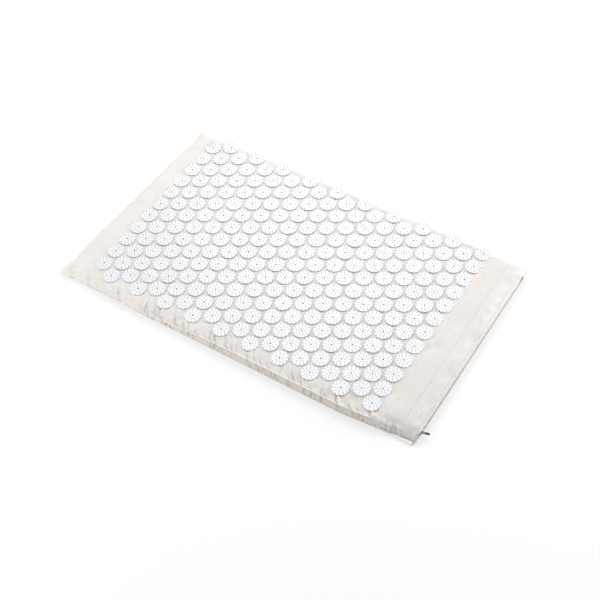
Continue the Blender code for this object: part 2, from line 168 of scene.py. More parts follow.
camera_data = bpy.data.cameras.new("camera")
camera_data.lens = CAMERA_LENS
camera_data.sensor_width = SENSOR
camera = bpy.data.objects.new("camera", camera_data)
camera.location = Vector((*FIELD, DISC_TOP)) + Vector(CAMERA_PLACE)
camera.rotation_euler = CAMERA_TURN
bpy.context.scene.collection.objects.link(camera)
bpy.context.scene.camera = camera
bpy.context.scene.view_settings.view_transform = "Standard"


def mesh_of(name, points, *faces, smooth=True):
    """A mesh from an array of points and one array of faces for each number of corners."""
    mesh = bpy.data.meshes.new(name)
    corners = np.concatenate([np.asarray(group).ravel() for group in faces])
    counts = np.concatenate([np.full(len(group), group.shape[1]) for group in faces])
    mesh.vertices.add(len(points))
    mesh.vertices.foreach_set("co", np.asarray(points, np.float32).ravel())
    mesh.loops.add(len(corners))
    mesh.loops.foreach_set("vertex_index", corners.astype(np.int32))
    mesh.polygons.add(len(counts))
    mesh.polygons.foreach_set("loop_start", (np.cumsum(counts) - counts).astype(np.int32))
    mesh.polygons.foreach_set("use_smooth", np.full(len(counts), smooth))
    mesh.update(calc_edges=True)
    mesh.validate()
    return mesh


def piece(name, mesh, material):
    """The mesh as a piece of the object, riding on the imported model's mat."""
    mesh.materials.clear()
    mesh.materials.append(material)
    obj = bpy.data.objects.new(name, mesh)
    bpy.context.scene.collection.objects.link(obj)
    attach(obj, "mat")
    return obj


def finish_named(name):
    """A new material's name, its Principled shader, and a wire that adds nodes to its tree."""
    material = bpy.data.materials.new(name)
    material.use_nodes = True
    tree = material.node_tree
    return material, tree.nodes["Principled BSDF"], Wire(tree)


def plug(shader, name, wire):
    wire.tree.links.new(wire.socket, shader.inputs[name])


def floor_finish():
    """Matt white. Seen from the camera it is mostly a plain white glow, as on a well-lit sweep, and
    what it throws back onto the mat is a softer grey."""
    material, shader, tree = finish_named("floor_white")
    seen = looked_at(tree)
    plug(shader, "Base Color", seen.tint(rgb(*[FLOOR_BOUNCE] * 3), rgb(*[FLOOR_SEEN] * 3)))
    shader.inputs["Roughness"].default_value = 1.0
    shader.inputs["Specular IOR Level"].default_value = 0.0
    glow = tree.node("ShaderNodeEmission", {"Color": rgb(1, 1, 1), "Strength": 1.0})
    matt = Wire(tree.tree, shader.outputs["BSDF"])
    mixed = tree.node("ShaderNodeMixShader", {0: FLOOR_GLOW * seen, 1: matt, 2: glow})
    surface = tree.tree.nodes["Material Output"].inputs["Surface"]
    tree.tree.links.new(mixed.socket, surface)
    return material


floor_corners = np.array([(-1, -1, 0), (1, -1, 0), (1, 1, 0), (-1, 1, 0)]) * FLOOR_SIZE / 2
floor = bpy.data.objects.new("floor", mesh_of("floor", floor_corners, np.array([[0, 1, 2, 3]])))
floor.data.materials.append(floor_finish())
bpy.context.scene.collection.objects.link(floor)

# Cover, top panel
# One piece of natural linen cloth that lies flat on the core and rolls down at its edges to the
# seam. The seam gathers it, so folds run in from the near side, and at the corners it ends in small
# ears.
LEFT, RIGHT, NEAR, FAR = -0.067, 0.663, -0.0316, 0.378
THICKNESS = 0.020
CLOTH = 0.0010
SIDE_DRAW = 0.0027
FAR_TAPER = 0.014
DRAW_FROM, DRAW_TO = 0.45, 0.95
CORNER_TUCK = 0.0062
TUCK_X, TUCK_Y = (0.60, 0.88), (0.82, 1.0)
EARS = (
    ((LEFT, NEAR), (-0.0053, -0.0035), 0.022),
    ((LEFT, FAR), (-0.0053, 0.0035), 0.022),
    ((RIGHT, NEAR), (-0.0032, 0.0), 0.012),
    ((RIGHT, FAR), (-0.0032, 0.0024), 0.012),
)
CORNER_SEAM = 0.0018
CORNER_REACH = 0.050
NEAR_SEAM, FAR_SEAM, LEFT_SEAM = 0.0194, 0.010, 0.004
NEAR_FALLS = (-0.05, 0.85), (0.765, 0.85)
FAR_FALL, LEFT_FALL, ZIP_FALL = (0.60, 1.0), (0.80, 1.0), (0.930, 1.0)
ZIP_CLOSES = 0.890, 0.930
ZIP_EDGE_HIGH, ZIP_EDGE_LOW = 0.0147, 0.0053
SEAM_LEAN, LEAN_WIDTH = 0.0038, 0.014
NEAR_ROLL, FAR_ROLL, LEFT_ROLL, ZIP_ROLL = 0.0045, 0.007, 0.014, 0.008
CORNER_ROLL = 0.006
LEFT_SLACK = 0.012
RIGHT_SLACK, RIGHT_SLACK_ENDS = 0.027, (0.612, 0.650)
END_SAG, SAG_X, SAG_SPANS = 0.0072, 0.626, (0.024, 0.026)
RIDGE_HEIGHT, RIDGE_PLACE = 0.8, 1.7
WIDTH_SHARES, LENGTH_SHARES, DEPTH_SHARES = (0.7, 1.4), (0.6, 1.3), (0.3, 1.3)
FOLD_OUT = 0.6
MIDDLE = np.array([(LEFT + RIGHT) / 2, (NEAR + FAR) / 2])
HALF = np.array([(RIGHT - LEFT) / 2, (FAR - NEAR) / 2])
EDGE_STEPS = np.array([0, 0.15, 0.45, 0.9, 1.5, 2.3, 3.3, 4.5, 6, 8, 10, 12, 14, 16.5, 19]) / 1000
TOP_STEP = 0.0015
TOP_STOPS = (0.012, 0.0022), (FAR - 0.032, 0.0070), 0.0030
NEAR_FLANGE = 0.0100
FLANGE_ENDS = (0.575, 0.660)
DISC_HOLD = 0.0145
SIM_STEP = 0.0040
SIM_FRAMES = 20
SIM_FULLNESS = 0.030
SIM_PRESSURE = 1.5
SIM_CAP = 0.0025
SIM_FOLDS = 0.6
SIM_HEM = 0.001
SIM_UNEVEN = 0.0002
chance = np.random.default_rng(11)


def smooth_step(value, low, high):
    """0 below low and 1 above high, with the cubic 3t^2 - 2t^3 between them."""
    share = np.clip((value - low) / (high - low), 0, 1)
    return share * share * (3 - 2 * share)


def drawn_in(x, y):
    """Field points moved as the sewing pulls the cover: each end leans in by a share of the
    distance from the near side, the left half draws in towards its corners by a smooth step, the
    near right corner is tucked in, and each corner is carried out into an ear by exp(-r^2)."""
    plan = np.stack([x, y], axis=-1) - MIDDLE
    share = plan / HALF
    draw = SIDE_DRAW * smooth_step(np.abs(share), DRAW_FROM, DRAW_TO)[..., ::-1]
    draw *= plan[..., :1] < 0
    draw[..., 0] += FAR_TAPER * (share[..., 1] + 1) / 2
    moved = plan * (1 - draw / HALF) + MIDDLE
    tuck = smooth_step(share[..., 0], *TUCK_X) * smooth_step(-share[..., 1], *TUCK_Y)
    moved[..., 1] += CORNER_TUCK * tuck
    for corner, reach, size in EARS:
        distance = np.hypot(x - corner[0], y - corner[1]) / size
        moved = moved + np.array(reach) * np.exp(-(distance**2))[..., None]
    return moved + FIELD


def steps_across(low, high, *stops):
    """Places from low to high: close together at both edges, then with each stop's spacing from the
    last stop to its own place."""
    reach = EDGE_STEPS[-1]
    places = [low + EDGE_STEPS]
    start = low + reach
    for end, spacing in (*stops[:-1], (high - reach, stops[-1])):
        count = max(1, round((end - start) / spacing))
        places.append(np.linspace(start, end, count + 1)[1:])
        start = end
    places.append(high - EDGE_STEPS[-2::-1])
    return np.concatenate(places)


def near_seam(x):
    """The near seam's height: high along the middle, and down to the floor at both ends, slowly to
    the left and steeply to the right."""
    share = (x - MIDDLE[0]) / HALF[0]
    fall = smooth_step(-share, *NEAR_FALLS[0]) + smooth_step(share, *NEAR_FALLS[1])
    return NEAR_SEAM + (CORNER_SEAM - NEAR_SEAM) * fall


def near_lean(x):
    """How far the near seam lies in from the mat's foot: the high part of that side leans in."""
    return SEAM_LEAN * (near_seam(x) - CORNER_SEAM) / (NEAR_SEAM - CORNER_SEAM)


def far_seam(x):
    fall = smooth_step(np.abs(x - MIDDLE[0]) / HALF[0], *FAR_FALL)
    return FAR_SEAM + (CORNER_SEAM - FAR_SEAM) * fall


def left_seam(y):
    fall = smooth_step(np.abs(y - MIDDLE[1]) / HALF[1], *LEFT_FALL)
    return LEFT_SEAM + (CORNER_SEAM - LEFT_SEAM) * fall


def zip_edge(y, height):
    """The height of a panel's edge along the zip, which closes on the seam near the corners."""
    share = np.abs(y - MIDDLE[1]) / HALF[1]
    closed = smooth_step(share, *ZIP_CLOSES)
    fall = smooth_step(share, *ZIP_FALL)
    seam = THICKNESS / 2 + (CORNER_SEAM - THICKNESS / 2) * fall
    return height + (seam - height) * closed


def creases(along, away, places, widths, lengths, depths, slants):
    """The sum of creases that start at a seam: across each one a valley exp(-t^2) with a ridge
    beside it, dying away with the distance from the seam as exp(-(d/length)^2)."""
    t = (along[..., None] - places - slants * away[..., None]) / widths
    across = RIDGE_HEIGHT * np.exp(-((t - RIDGE_PLACE) ** 2)) - np.exp(-(t**2))
    return (depths * across * np.exp(-((away[..., None] / lengths) ** 2))).sum(axis=-1)


def crease_set(places, spread, width, length, depth, slant, slant_spread):
    """Random creases round the given places, each with its own width, length, depth and slant."""
    count = len(places)
    return (
        places + chance.normal(0, spread, count),
        width * chance.uniform(*WIDTH_SHARES, count),
        length * chance.uniform(*LENGTH_SHARES, count),
        depth * chance.uniform(*DEPTH_SHARES, count),
        chance.normal(slant, slant_spread, count),
    )


near_places = np.arange(LEFT + 0.025, RIGHT - 0.075, 0.0155)
near_creases = crease_set(
    near_places,
    spread=0.004,
    width=0.0017,
    length=0.018,
    depth=0.0031 + 0.0009 * smooth_step(near_places, 0.05, 0.35),
    slant=-0.48,
    slant_spread=0.22,
)
end_creases = crease_set(
    np.arange(RIGHT - 0.062, RIGHT - 0.008, 0.0085),
    spread=0.002,
    width=0.0018,
    length=0.010,
    depth=0.0022,
    slant=-0.35,
    slant_spread=0.2,
)
far_creases = crease_set(
    np.arange(LEFT + 0.03, RIGHT - 0.08, 0.030),
    spread=0.005,
    width=0.0035,
    length=0.011,
    depth=0.0009,
    slant=0,
    slant_spread=0.2,
)
left_creases = crease_set(
    np.arange(NEAR + 0.02, FAR - 0.02, 0.045),
    spread=0.012,
    width=0.006,
    length=0.016,
    depth=0.0003,
    slant=0,
    slant_spread=0.3,
)


def edge_share(distance, width):
    """1 at the seam and 0 where the roll meets the flat face."""
    return np.clip(1 - distance / width, 0, 1)


def corner_share(distance):
    """1 at a corner and 0 far from it, by exp(-(d/reach)^2) of the distance along the side."""
    return np.exp(-((distance / CORNER_REACH) ** 2))


def rolled(shares, drops, sag=0.0):
    """How far the cloth drops where the rolls of several sides meet: each side drops its own height
    times 1 - sqrt(1 - q^2), and these drops and the sag join as the cube root of the sum of
    cubes."""
    parts = [drop * (1 - np.sqrt(1 - share**2)) for share, drop in zip(shares, drops)]
    return np.cbrt(sum(part**3 for part in parts) + sag**3)


def top_surface(x, y, folds=1.0):
    """The top panel's outer face over the field point (x, y), with its folds scaled by a factor."""
    left, right, near, far = x - LEFT, RIGHT - x, y - NEAR, FAR - y
    flange = NEAR_FLANGE * smooth_step(x, *FLANGE_ENDS)
    end = corner_share(np.minimum(left, right))
    side = corner_share(np.minimum(near, far))
    slack = LEFT_SLACK * corner_share(left) + RIGHT_SLACK * smooth_step(x, *RIGHT_SLACK_ENDS)
    shares = (
        edge_share(near - flange, NEAR_ROLL + slack),
        edge_share(far, FAR_ROLL + CORNER_ROLL * end),
        edge_share(left, LEFT_ROLL + CORNER_ROLL * side),
        edge_share(right, ZIP_ROLL + CORNER_ROLL * side),
    )
    drops = (
        THICKNESS - near_seam(x),
        THICKNESS - far_seam(x),
        THICKNESS - left_seam(y),
        THICKNESS - zip_edge(y, ZIP_EDGE_HIGH),
    )
    sag = END_SAG * np.exp(
        -(((x - SAG_X) / SAG_SPANS[0]) ** 2) - ((near - flange) / SAG_SPANS[1]) ** 2
    )
    drop = np.minimum(rolled(shares, drops, sag), THICKNESS - CORNER_SEAM)
    fold = folds * (creases(x, near, *near_creases) + creases(x, near - flange, *end_creases))
    other_folds = folds * (creases(x, far, *far_creases) + creases(y, left, *left_creases))
    plan = drawn_in(x, y)
    out = np.sqrt(1 - (1 - shares[0]) ** 2) * (shares[0] > 0)
    plan[..., 1] += near_lean(x) * edge_share(near, LEAN_WIDTH) - fold * out * FOLD_OUT
    height = THICKNESS - drop + fold * (1 - FOLD_OUT * out) + other_folds
    return np.concatenate([plan, np.maximum(height, CORNER_SEAM)[..., None]], axis=-1)


def grid_faces(rows, columns):
    """The quads of a grid of points stored row by row, turned to face along row x column."""
    index = np.arange(rows * columns).reshape(rows, columns)
    corners = (index[:-1, :-1], index[1:, :-1], index[1:, 1:], index[:-1, 1:])
    return np.stack(corners, axis=-1).reshape(-1, 4)


def to_nearest_disc(x, y):
    """The distance from each field point to the nearest rosette's centre, column by column."""
    nearest = np.full(x.shape, 1.0)
    for column in range(COLUMNS):
        stagger = 0.0 if column % 2 else 0.5
        last = LONG_COUNT - 1 - 2 * stagger
        row = np.clip(np.round(y / ROSETTE_PITCH - stagger), 0, last) + stagger
        nearest = np.minimum(nearest, np.hypot(x - column * COLUMN_STEP, y - row * ROSETTE_PITCH))
    return nearest


def settled_cloth(x, y):
    """How far the top panel's cloth moves when it settles. The panel is cut a little larger than
    the space between the stitching and the discs, and Blender's cloth simulation finds how it
    buckles: held at its edges and under the discs, free between them, with light pressure from the
    foam."""
    grid_x, grid_y = np.meshgrid(x, y, indexing="ij")
    start = top_surface(grid_x, grid_y, folds=SIM_FOLDS)
    edge = np.minimum.reduce([grid_x - LEFT, RIGHT - grid_x, grid_y - NEAR, FAR - grid_y])
    free = (edge > SIM_HEM) & (to_nearest_disc(grid_x, grid_y) > DISC_HOLD)
    start[..., 2] += free * np.random.default_rng(5).normal(0, SIM_UNEVEN, free.shape)
    mesh = mesh_of("cloth_trial", start.reshape(-1, 3), grid_faces(*free.shape))
    trial = bpy.data.objects.new("cloth_trial", mesh)
    bpy.context.scene.collection.objects.link(trial)
    held = trial.vertex_groups.new(name="held")
    held.add(np.flatnonzero(~free.ravel()).tolist(), 1.0, "REPLACE")
    cloth = trial.modifiers.new("settle", "CLOTH")
    cloth.point_cache.frame_start = 1
    cloth.point_cache.frame_end = SIM_FRAMES
    cloth.settings.quality = 6
    cloth.settings.mass = 0.3
    cloth.settings.tension_stiffness = 20
    cloth.settings.compression_stiffness = 20
    cloth.settings.shear_stiffness = 5
    cloth.settings.bending_stiffness = 0.3
    cloth.settings.effector_weights.gravity = 0
    cloth.settings.vertex_group_mass = "held"
    cloth.settings.vertex_group_shrink = "held"
    cloth.settings.shrink_min = -SIM_FULLNESS
    cloth.settings.shrink_max = 0
    cloth.settings.use_pressure = True
    cloth.settings.uniform_pressure_force = SIM_PRESSURE
    for step in range(1, SIM_FRAMES + 1):
        bpy.context.scene.frame_set(step)
    settled = trial.evaluated_get(bpy.context.evaluated_depsgraph_get()).to_mesh()
    points = np.empty(start.size, np.float32)
    settled.vertices.foreach_get("co", points)
    move = points.reshape(start.shape) - start
    bpy.data.objects.remove(trial)
    bpy.context.scene.frame_set(1)
    length = np.linalg.norm(move, axis=-1, keepdims=True)
    return move * np.minimum(1, SIM_CAP / np.maximum(length, 1e-9))


def spline_weights(places, knots):
    """One row of weights for each place: the cubic B-spline over evenly spaced knots."""
    away = np.abs(places[:, None] - knots) / (knots[1] - knots[0])
    weights = np.where(away < 1, 2 / 3 - away**2 + away**3 / 2, np.clip(2 - away, 0, 2) ** 3 / 6)
    return weights / weights.sum(axis=1, keepdims=True)


def add_cloth_uv(mesh, surface):
    """A UV map in metres of cloth: the length run along each of the grid's two directions."""
    run = []
    for axis in (0, 1):
        length = np.linalg.norm(np.diff(surface, axis=axis), axis=-1)
        pad = [(1, 0) if way == axis else (0, 0) for way in (0, 1)]
        run.append(np.cumsum(np.pad(length, pad), axis=axis).ravel())
    layer = mesh.uv_layers.new(name="cloth")
    corners = np.empty(len(mesh.loops), np.int32)
    mesh.loops.foreach_get("vertex_index", corners)
    layer.uv.foreach_set("vector", np.stack(run, axis=-1)[corners].astype(np.float32).ravel())


def thicken(obj, thickness):
    """Gives a sheet its thickness inwards and bakes it into the mesh."""
    solidify = obj.modifiers.new("cloth_thickness", "SOLIDIFY")
    solidify.thickness = thickness
    solidify.offset = -1
    bpy.context.view_layer.objects.active = obj
    with bpy.context.temp_override(object=obj, active_object=obj, selected_objects=[obj]):
        bpy.ops.object.modifier_apply(modifier=solidify.name)


THREAD = 0.00080
SLUB_STRETCHES = (45.0, 1500.0, 1.0), (1500.0, 45.0, 1.0)


def linen(name, light, dark):
    """Plain-woven cloth: rounded threads that pass over and under each other, uneven along their
    length, with slubs and a faint crumple. The gaps between threads, the slubs, large clouds and
    small flecks each darken it by a share."""
    material, shader, tree = finish_named(name)
    uv = tree.node("ShaderNodeUVMap", uv_map="cloth")
    wobble = tree.node("ShaderNodeTexNoise", {"Vector": uv, "Scale": 90.0, "Detail": 2.0})
    along = tree.node("ShaderNodeSeparateXYZ", {0: uv}, output="X") + THREAD * wobble
    across = tree.node("ShaderNodeSeparateXYZ", {0: uv}, output="Y") + THREAD * (1 - wobble)
    weft = (along * (math.pi / THREAD)).math("SINE")
    warp = (across * (math.pi / THREAD)).math("SINE")
    over = (weft * warp).between(-0.25, 0.25)
    threads = over * weft.math("ABSOLUTE") + (1 - over) * warp.math("ABSOLUTE")
    slubs = []
    for stretch in SLUB_STRETCHES:
        drawn = tree.node("ShaderNodeVectorMath", {0: uv, 1: stretch}, operation="MULTIPLY")
        noise = {"Vector": drawn, "Scale": 1.0, "Detail": 3.0}
        slubs.append(tree.node("ShaderNodeTexNoise", noise))
    slub = (slubs[0] * 0.5 + slubs[1] * 0.5).between(0.40, 0.62)
    cloud = tree.node("ShaderNodeTexNoise", {"Vector": uv, "Scale": 14.0, "Detail": 3.0})
    fleck = tree.node("ShaderNodeTexNoise", {"Vector": uv, "Scale": 420.0, "Detail": 2.0})
    shade = 0.20 * (1 - threads) + 0.26 * slub + 0.14 * cloud.between(0.35, 0.65)
    shade = shade + 0.40 * fleck.between(0.38, 0.66)
    plug(shader, "Base Color", shade.tint(light, dark))
    crumple = tree.node("ShaderNodeTexNoise", {"Vector": uv, "Scale": 55.0, "Detail": 3.0})
    weave = {"Strength": 0.5, "Distance": 0.00025, "Height": threads + 0.6 * slub}
    fine = tree.node("ShaderNodeBump", weave)
    softer = {"Strength": 0.35, "Distance": 0.0012, "Height": crumple, "Normal": fine}
    plug(shader, "Normal", tree.node("ShaderNodeBump", softer))
    plug(shader, "Roughness", 0.86 + 0.1 * threads)
    shader.inputs["Sheen Weight"].default_value = 0.12
    shader.inputs["Specular IOR Level"].default_value = 0.25
    return material


sim_x = np.linspace(LEFT, RIGHT, round((RIGHT - LEFT) / SIM_STEP) + 1)
sim_y = np.linspace(NEAR, FAR, round((FAR - NEAR) / SIM_STEP) + 1)
cloth_move = settled_cloth(sim_x, sim_y)


def cover_face(x, y):
    """The top panel's finished face over lists of field points: its shape and how it settled."""
    points = top_surface(x, y)
    if cloth_move is not None:
        along, across = spline_weights(x, sim_x), spline_weights(y, sim_y)
        points += np.einsum("ai,ijk,aj->ak", along, cloth_move, across, optimize=True)
        points[:, 2] = np.maximum(points[:, 2], CORNER_SEAM)
    return points


linen_top = linen("linen_top", rgb(0.828, 0.798, 0.771), rgb(0.632, 0.592, 0.555))
top_x = steps_across(LEFT, RIGHT, TOP_STEP)
top_y = steps_across(NEAR, FAR, *TOP_STOPS)
grid_x, grid_y = np.meshgrid(top_x, top_y, indexing="ij")
surface = cover_face(grid_x.ravel(), grid_y.ravel()).reshape(*grid_x.shape, 3)
top_mesh = mesh_of("cover_top", surface.reshape(-1, 3), grid_faces(*surface.shape[:2]))
add_cloth_uv(top_mesh, surface)
cover_top = piece("cover_top", top_mesh, linen_top)
thicken(cover_top, CLOTH)
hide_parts("cover_top_panel")

# Cover, bottom panel
# The same cloth, in a darker and warmer colour that is painted shade for the band along the near
# side. It lies flat on the floor and rises at its edges to the seam: steeply and high along the
# near side, where the sewing gathers it into slanting creases, and hardly at all at the corners.
SEAM_GAP = 0.0003
FLOOR_ROLL = 0.0030
NEAR_FLOOR_ROLL = 0.0014
CREASE_STARTS = 0.0005, 0.004
CREASE_ENDS = 0.003
DEEPEST_CREASE, HIGHEST_CREASE = -0.0042, 0.0016
BOTTOM_STEP, BOTTOM_WIDE_STEP = 0.0011, 0.0150
band_creases = crease_set(
    np.arange(LEFT + 0.05, RIGHT - 0.07, 0.0160),
    spread=0.006,
    width=0.0021,
    length=0.030,
    depth=0.0056,
    slant=-0.5,
    slant_spread=0.6,
)
# Painted shade: the bottom panel's linen is darker and warmer than the top's, for the shaded band
# along the near side.
linen_under_painted_shade = linen("linen_under_painted_shade", rgb(0.82, 0.755, 0.695), rgb(0.665, 0.595, 0.53))


def bottom_surface(x, y):
    """The bottom panel's outer face under the field point (x, y). Along the near side its creases
    fade out above the floor and below the seam."""
    left, right, near, far = x - LEFT, RIGHT - x, y - NEAR, FAR - y
    shares = [edge_share(distance, FLOOR_ROLL) for distance in (near, far, left, right)]
    shares[0] = edge_share(near, NEAR_FLOOR_ROLL)
    rises = [
        near_seam(x) - SEAM_GAP,
        far_seam(x) - SEAM_GAP,
        left_seam(y) - SEAM_GAP,
        zip_edge(y, ZIP_EDGE_LOW) - SEAM_GAP,
    ]
    height = np.minimum(rolled(shares, rises), np.maximum.reduce(rises))
    plan = drawn_in(x, y)
    fold = creases(x, height, *band_creases) * smooth_step(height, *CREASE_STARTS)
    fold = fold * smooth_step(near_seam(x) - height, 0, CREASE_ENDS)
    lean = near_lean(x) * height / near_seam(x)
    plan[..., 1] += (lean - np.clip(fold, DEEPEST_CREASE, HIGHEST_CREASE)) * (shares[0] > 0)
    return np.concatenate([plan, height[..., None]], axis=-1)


bottom_x = steps_across(LEFT, RIGHT, BOTTOM_STEP)
bottom_y = steps_across(NEAR, FAR, BOTTOM_WIDE_STEP)
grid_x, grid_y = np.meshgrid(bottom_x, bottom_y, indexing="ij")
surface = bottom_surface(grid_x, grid_y)
faces = grid_faces(*surface.shape[:2])[:, ::-1]
bottom_mesh = mesh_of("cover_bottom", surface.reshape(-1, 3), faces)
add_cloth_uv(bottom_mesh, surface)
cover_bottom = piece("cover_bottom", bottom_mesh, linen_under_painted_shade)
thicken(cover_bottom, CLOTH)
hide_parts("cover_bottom_panel")

# Seam and hem
# Where the two panels meet, their folded edges are sewn together into a narrow raised line that
# runs round the left end and both long sides, and widens into a flange at the near right corner.
# Over the zip the top panel ends in a folded hem instead.
CORD_SIDES = 8
SEAM_RADIUS = 0.0009
SEAM_COUNTS = 330, 180
SEAM_START = 0.002
HEM_RADIUS = 0.0011
HEM_COUNT = 200
HEM_NEAR, HEM_FAR, HEM_INSET, HEM_RISE = 0.010, 0.012, 0.0005, 0.0009
FLANGE_HALF_WIDTH = 0.0031
FLANGE_RISE = 0.0010
LEAST_STEP = 1e-6
# Painted light: the seam's cord and its flange get a lighter copy of the linen, for the bright line
# they catch.
linen_seam_painted_light = linen("linen_seam_painted_light", rgb(0.96, 0.945, 0.925), rgb(0.88, 0.855, 0.82))


def across_path(path):
    """Two unit directions across a path at each of its points: level, and upward."""
    way = np.gradient(path, axis=0)
    way /= np.linalg.norm(way, axis=1)[:, None]
    aside = np.cross(way, (0, 0, 1))
    aside /= np.linalg.norm(aside, axis=1)[:, None]
    return aside, np.cross(aside, way)


def tube_faces(index):
    """The quads of a closed profile carried along a path, from its points' numbers ring by ring."""
    after = np.roll(index, -1, axis=-1)
    corners = (index[..., :-1, :], index[..., 1:, :], after[..., 1:, :], after[..., :-1, :])
    return np.stack(corners, axis=-1).reshape(-1, 4)


def cord_of_cloth(name, path, half_width, half_height, material):
    """An oval profile carried along a path and closed at both ends, with the run along the path and
    round the profile as its UV map in metres. The half width is one number for each path point."""
    aside, upward = across_path(path)
    turn = np.linspace(0, 2 * math.pi, CORD_SIDES, endpoint=False)
    wide = half_width[:, None, None] * np.cos(turn)[:, None] * aside[:, None]
    high = half_height * np.sin(turn)[:, None] * upward[:, None]
    index = np.arange(len(path) * CORD_SIDES).reshape(len(path), CORD_SIDES)
    ends = np.stack([index[0], index[-1][::-1]])
    mesh = mesh_of(name, (path[:, None] + wide + high).reshape(-1, 3), tube_faces(index), ends)
    run = np.append(0, np.cumsum(np.linalg.norm(np.diff(path, axis=0), axis=1)))
    place = np.stack(np.broadcast_arrays(run[:, None], half_height * turn), axis=-1).reshape(-1, 2)
    corners = np.empty(len(mesh.loops), np.int32)
    mesh.loops.foreach_get("vertex_index", corners)
    layer = mesh.uv_layers.new(name="cloth")
    layer.uv.foreach_set("vector", place[corners].astype(np.float32).ravel())
    piece(name, mesh, material)


def seam_path():
    """The seam from the near right corner, left along the near side, up the left end and back along
    the far side, at the height where the panels meet, and its half width, which grows into a flat
    flange at the near right corner."""
    x = np.linspace(RIGHT - SEAM_START, LEFT, SEAM_COUNTS[0])
    y = np.linspace(NEAR, FAR, SEAM_COUNTS[1])
    legs = [
        (x, np.full_like(x, NEAR), near_seam(x)),
        (np.full_like(y, LEFT), y, left_seam(y)),
        (x[::-1], np.full_like(x, FAR), far_seam(x[::-1])),
    ]
    along, across, height = (np.concatenate(parts) for parts in zip(*legs))
    flange = smooth_step(along, *FLANGE_ENDS) * (across < 0)
    half_width = SEAM_RADIUS + (FLANGE_HALF_WIDTH - SEAM_RADIUS) * flange
    plan = drawn_in(along, across + (half_width - SEAM_RADIUS))
    plan[..., 1] += near_lean(along) * (across == NEAR)
    height = np.maximum(height + FLANGE_RISE * flange, SEAM_RADIUS)
    keep = np.append(True, np.hypot(np.diff(along), np.diff(across)) > LEAST_STEP)
    return np.column_stack([plan, height])[keep], half_width[keep]


cord_of_cloth("seam_edge", *seam_path(), SEAM_RADIUS, linen_seam_painted_light)
hem_y = np.linspace(NEAR + HEM_NEAR, FAR - HEM_FAR, HEM_COUNT)
hem_plan = drawn_in(np.full_like(hem_y, RIGHT - HEM_INSET), hem_y)
hem_path = np.column_stack([hem_plan, zip_edge(hem_y, ZIP_EDGE_HIGH + HEM_RISE)])
cord_of_cloth("hem_edge", hem_path, np.full(HEM_COUNT, HEM_RADIUS), HEM_RADIUS, linen_top)

# Stitching
# Ecru thread, sewn in straight rows: one just inside the hem over the zip, one where the hem's fold
# ends, and one beside the flat flange at the near right corner.
STITCH_LENGTH = 0.0024
STITCH_PITCH = 0.0031
STITCH_RADIUS = 0.00030
STITCH_SIDES = 5
STITCH_RINGS = np.array([(0, 0.2, -1.2), (0.2, 1, 0.3), (0.8, 1, 0.3), (1, 0.2, -1.2)])
HEM_ROW, FOLD_ROW, ROW_END = 0.0036, 0.031, 0.016
FLANGE_ROW, FLANGE_ROW_ENDS = 0.0072, (0.040, 0.008)
ROW_COUNTS = 300, 40


def thread_finish():
    """Twisted thread: fine ridges across it."""
    material, shader, tree = finish_named("ecru_thread")
    place = tree.node("ShaderNodeTexCoord", output="Object")
    wave = {"Vector": place, "Scale": 700.0}
    twist = tree.node("ShaderNodeTexWave", wave, bands_direction="DIAGONAL")
    plug(shader, "Base Color", twist.tint(rgb(0.66, 0.60, 0.53), rgb(0.52, 0.46, 0.40)))
    plug(shader, "Normal", tree.node("ShaderNodeBump", {"Distance": 0.0001, "Height": twist}))
    shader.inputs["Roughness"].default_value = 0.7
    return material


def stitch_row(x, y):
    """Stitches along a line of field points on the cover. Each is a bar of a few sides and four
    rings, thinner and lower at its ends, where the thread goes into the cloth. A ring is given by
    its share of the length and of the radius, and by its height in radii."""
    path = cover_face(x, y)
    run = np.append(0, np.cumsum(np.linalg.norm(np.diff(path, axis=0), axis=1)))
    starts = np.arange(0, run[-1] - STITCH_LENGTH, STITCH_PITCH)
    share, size, height = STITCH_RINGS.T
    at = starts[:, None] + share * STITCH_LENGTH
    middle = np.stack([np.interp(at, run, path[:, way]) for way in range(3)], axis=-1)
    middle[..., 2] += height * STITCH_RADIUS
    aside, upward = across_path(path)
    side, rise = (
        np.stack([np.interp(at, run, given[:, way]) for way in range(3)], axis=-1)[:, :, None]
        for given in (aside, upward)
    )
    turn = np.linspace(0, 2 * math.pi, STITCH_SIDES, endpoint=False)[:, None]
    ring = np.cos(turn) * side + np.sin(turn) * rise
    points = middle[:, :, None] + STITCH_RADIUS * size[None, :, None, None] * ring
    index = np.arange(points[..., 0].size).reshape(points.shape[:3])
    ends = np.concatenate([index[:, 0], index[:, -1, ::-1]])
    return points.reshape(-1, 3), tube_faces(index), ends


ecru_thread = thread_finish()
across_end = np.linspace(NEAR + ROW_END, FAR - ROW_END, ROW_COUNTS[0])
along_flange = np.linspace(*(RIGHT - end for end in FLANGE_ROW_ENDS), ROW_COUNTS[1])
for name, x, y in (
    ("stitches_hem", np.full_like(across_end, RIGHT - HEM_ROW), across_end),
    ("stitches_fold", np.full_like(across_end, RIGHT - FOLD_ROW), across_end),
    ("stitches_flange", along_flange, np.full_like(along_flange, NEAR + FLANGE_ROW)),
):
    stitches = piece(name, mesh_of(name, *stitch_row(x, y)), ecru_thread)

# Foam core
# A soft open-cell slab that fills the cover a little way inside its cloth, and is thinner where the
# cover rolls down at its corners. Nothing of it shows, but it keeps the cover flat.
FOAM_INSETS = (0.012, 0.010, 0.012, 0.009)
FOAM_COUNTS = 90, 52
FOAM_ROOM = 0.0016
FOAM_LEAST = 0.0004


